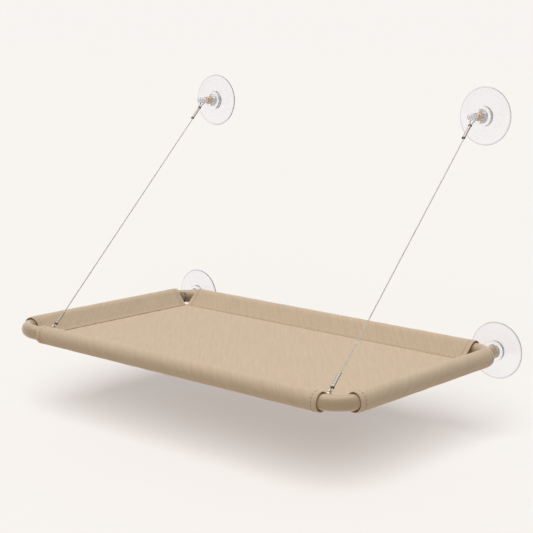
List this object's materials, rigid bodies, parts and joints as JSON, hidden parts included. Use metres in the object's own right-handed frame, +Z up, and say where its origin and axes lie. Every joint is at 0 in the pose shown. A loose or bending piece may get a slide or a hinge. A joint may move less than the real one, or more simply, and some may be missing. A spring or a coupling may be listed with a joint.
{
  "type": "cat window hammock",
  "caption": "Canvas bed on a rounded tube frame, held on a window pane by clear suction cups and taut steel cables.",
  "frame": {"origin": "on the inside face of the window pane, halfway between the cups, at the height of the tube centrelines", "axes": "+Z up, +Y out through the pane, the room on the -Y side, +X along the pane to the right as seen from the room"},
  "size_m": [0.6138, 0.3672, 0.382],
  "materials": {
    "painted_tube": "satin powder coat",
    "elbow_plastic": "satin moulded",
    "canvas": "plain weave canvas",
    "insert_brass": "turned",
    "eye_steel": "polished",
    "cable_steel": "stranded wire rope",
    "ferrule_aluminium": "crimped",
    "dark_ring": "matt",
    "clear_cup": "clear flexible, glossy",
    "clear_knob": "clear rigid, glossy",
    "bolt_steel": "zinc plated",
    "nut_brass": "satin"
  },
  "bodies": {
    "frame": {"front_tube": "painted_tube", "back_tube": "painted_tube", "left_tube": "painted_tube", "right_tube": "painted_tube", "front_left_elbow": "elbow_plastic", "front_right_elbow": "elbow_plastic", "back_left_elbow": "elbow_plastic", "back_right_elbow": "elbow_plastic", "front_sleeve": "canvas", "back_sleeve": "canvas", "left_sleeve": "canvas", "right_sleeve": "canvas", "sleeping_panel": "canvas", "left_anchor_insert": "insert_brass", "right_anchor_insert": "insert_brass", "left_anchor_eye": "eye_steel", "right_anchor_eye": "eye_steel"},
    "left_cable_assembly": {"left_cable": "cable_steel", "left_lower_ferrule": "ferrule_aluminium", "left_lower_ring": "dark_ring", "left_upper_ferrule": "ferrule_aluminium", "left_upper_ring": "dark_ring", "left_end_ring": "dark_ring"},
    "left_upper_mount": {"left_upper_cup": "clear_cup", "left_upper_stud": "bolt_steel", "left_lock_nut": "nut_brass"},
    "left_cap_nut": {"left_upper_cap": "clear_knob"},
    "left_lower_mount": {"left_lower_cup": "clear_cup", "left_lower_bolt": "bolt_steel"},
    "left_knob_nut": {"left_lower_knob": "clear_knob"},
    "right_cable_assembly": {"right_cable": "cable_steel", "right_lower_ferrule": "ferrule_aluminium", "right_lower_ring": "dark_ring", "right_upper_ferrule": "ferrule_aluminium", "right_upper_ring": "dark_ring", "right_end_ring": "dark_ring"},
    "right_upper_mount": {"right_upper_cup": "clear_cup", "right_upper_stud": "bolt_steel", "right_lock_nut": "nut_brass"},
    "right_cap_nut": {"right_upper_cap": "clear_knob"},
    "right_lower_mount": {"right_lower_cup": "clear_cup", "right_lower_bolt": "bolt_steel"},
    "right_knob_nut": {"right_lower_knob": "clear_knob"}
  },
  "joints": [
    {"name": "left_cable_swing", "type": "hinge", "parent": "frame", "child": "left_cable_assembly", "pos_m": [-0.216, -0.34432, 0.00996], "axis": [1, 0, 0], "range_deg": [0, 100]},
    {"name": "left_upper_cup_turn", "type": "hinge", "parent": "left_cable_assembly", "child": "left_upper_mount", "pos_m": [-0.2355, -0.027, 0.306], "axis": [0, 1, 0], "continuous": true},
    {"name": "left_cap_turn", "type": "hinge", "parent": "left_upper_mount", "child": "left_cap_nut", "pos_m": [-0.2355, -0.027, 0.306], "axis": [0, 1, 0], "continuous": true},
    {"name": "left_lower_cup_turn", "type": "hinge", "parent": "frame", "child": "left_lower_mount", "pos_m": [-0.26887, -0.02, 0], "axis": [0, 1, 0], "continuous": true},
    {"name": "left_knob_turn", "type": "hinge", "parent": "left_lower_mount", "child": "left_knob_nut", "pos_m": [-0.26887, -0.02, 0], "axis": [0, 1, 0], "continuous": true},
    {"name": "right_cable_swing", "type": "hinge", "parent": "frame", "child": "right_cable_assembly", "pos_m": [0.2532, -0.34266, 0.00999], "axis": [1, 0, 0], "range_deg": [0, 100]},
    {"name": "right_upper_cup_turn", "type": "hinge", "parent": "right_cable_assembly", "child": "right_upper_mount", "pos_m": [0.2355, -0.027, 0.306], "axis": [0, 1, 0], "continuous": true},
    {"name": "right_cap_turn", "type": "hinge", "parent": "right_upper_mount", "child": "right_cap_nut", "pos_m": [0.2355, -0.027, 0.306], "axis": [0, 1, 0], "continuous": true},
    {"name": "right_lower_cup_turn", "type": "hinge", "parent": "frame", "child": "right_lower_mount", "pos_m": [0.26887, -0.02, 0], "axis": [0, 1, 0], "continuous": true},
    {"name": "right_knob_turn", "type": "hinge", "parent": "right_lower_mount", "child": "right_knob_nut", "pos_m": [0.26887, -0.02, 0], "axis": [0, 1, 0], "continuous": true}
  ]
}
